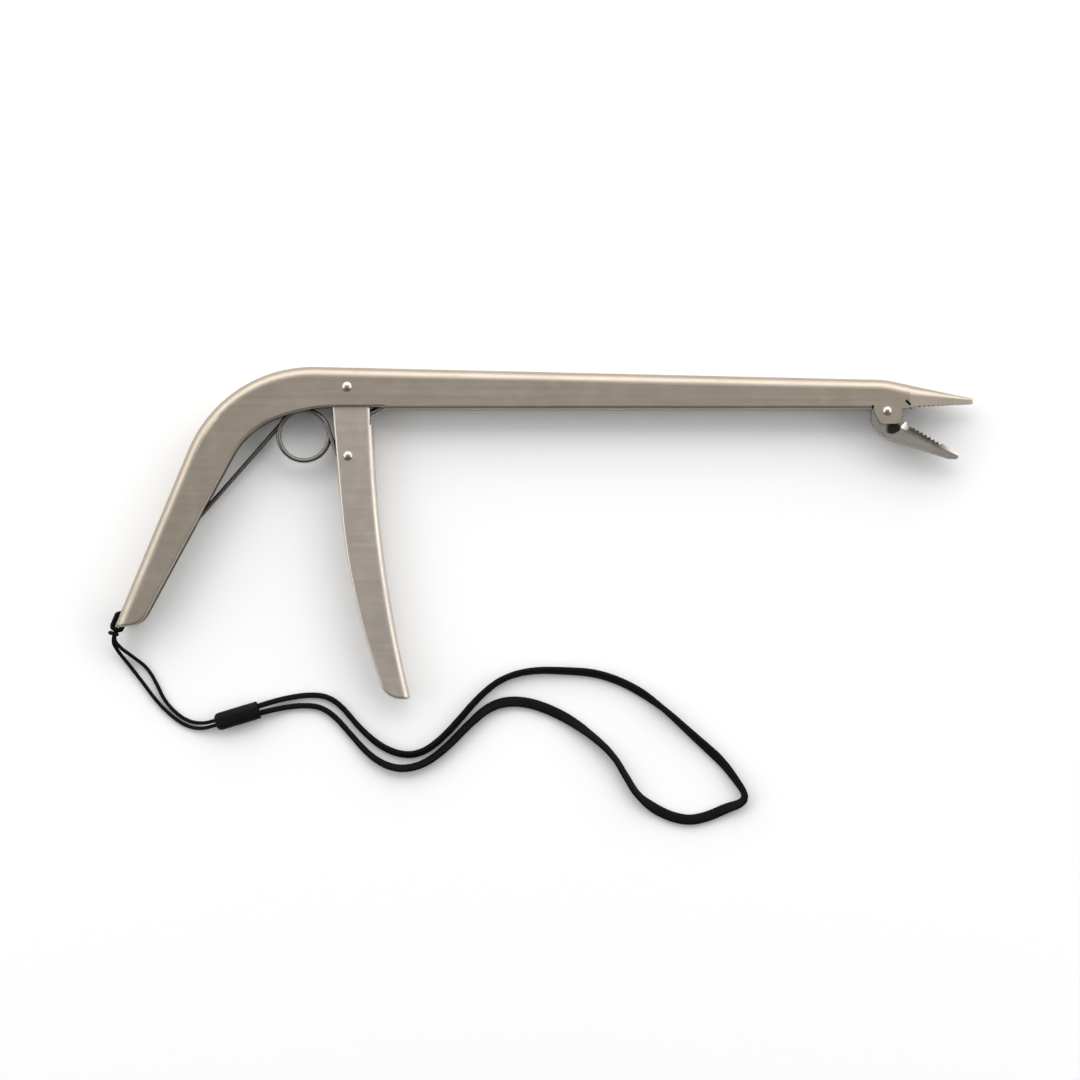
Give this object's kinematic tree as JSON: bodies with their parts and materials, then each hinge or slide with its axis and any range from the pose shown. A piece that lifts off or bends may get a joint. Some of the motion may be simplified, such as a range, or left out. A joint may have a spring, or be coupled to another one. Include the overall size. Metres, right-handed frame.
{
  "type": "fish gripper",
  "caption": "Pistol-grip fish gripper of folded steel: squeezing the trigger pulls a rod that closes a toothed jaw on the long nose; wrist lanyard on the handle.",
  "frame": {"origin": "centre of the box round the steel tool, on the surface it lies on", "axes": "+X along the barrel to the nose, +Y from the trigger up to the barrel, +Z out of the side wall that faces up"},
  "size_m": [0.2429, 0.1286, 0.0104],
  "materials": {
    "satin_steel": "satin folded stainless sheet, warm grey, grain along the sheet",
    "jaw_steel": "satin pressed stainless sheet with bright cut edges",
    "rod_steel": "drawn steel wire",
    "spring_wire": "bright drawn spring wire",
    "rivet_steel": "bright rivet and pin steel",
    "black_cord": "black braided cord",
    "black_sleeve": "matt black sleeve",
    "ferrule_metal": "plain crimped ferrule, hidden inside the sleeve"
  },
  "bodies": {
    "frame": {"body_channel": "satin_steel", "trigger_pivot_rivet": "rivet_steel", "jaw_pivot_rivet": "rivet_steel", "return_spring": "spring_wire", "lanyard_hitch": "black_cord", "lanyard_string_upper": "black_cord", "lanyard_string_lower": "black_cord", "lanyard_slider": "black_sleeve", "slider_ferrule": "ferrule_metal", "wrist_cord": "black_cord"},
    "trigger": {"trigger_lever": "satin_steel", "trigger_pivot_bush": "rivet_steel", "spring_anchor_rivet": "rivet_steel", "spring_anchor_bush": "rivet_steel", "rod_rear_pin": "rivet_steel"},
    "rod": {"pull_rod": "rod_steel"},
    "jaw": {"lower_jaw": "jaw_steel", "jaw_pivot_bush": "rivet_steel", "rod_front_pin": "rivet_steel"}
  },
  "joints": [
    {"name": "trigger_squeeze", "type": "hinge", "parent": "frame", "child": "trigger", "pos_m": [-0.05544, 0.04117, 0.0052], "axis": [0, 0, -1], "range_deg": [0, 19], "stiffness_Nm_per_rad": 1, "springref_deg": -28.65, "deforming": ["return_spring"]},
    {"name": "rod_hinge", "type": "hinge", "parent": "trigger", "child": "rod", "pos_m": [-0.05409, 0.03313, 0.0052], "axis": [0, 0, 1], "range_deg": [0, 19]},
    {"name": "jaw_hinge", "type": "hinge", "parent": "frame", "child": "jaw", "pos_m": [0.09626, 0.03437, 0.0052], "axis": [0, 0, 1], "range_deg": [0, 34]}
  ],
  "couplings": [
    {"joint": "rod_hinge", "follows": "trigger_squeeze", "ratio": 1},
    {"joint": "jaw_hinge", "follows": "trigger_squeeze", "ratio": 1.7894}
  ]
}
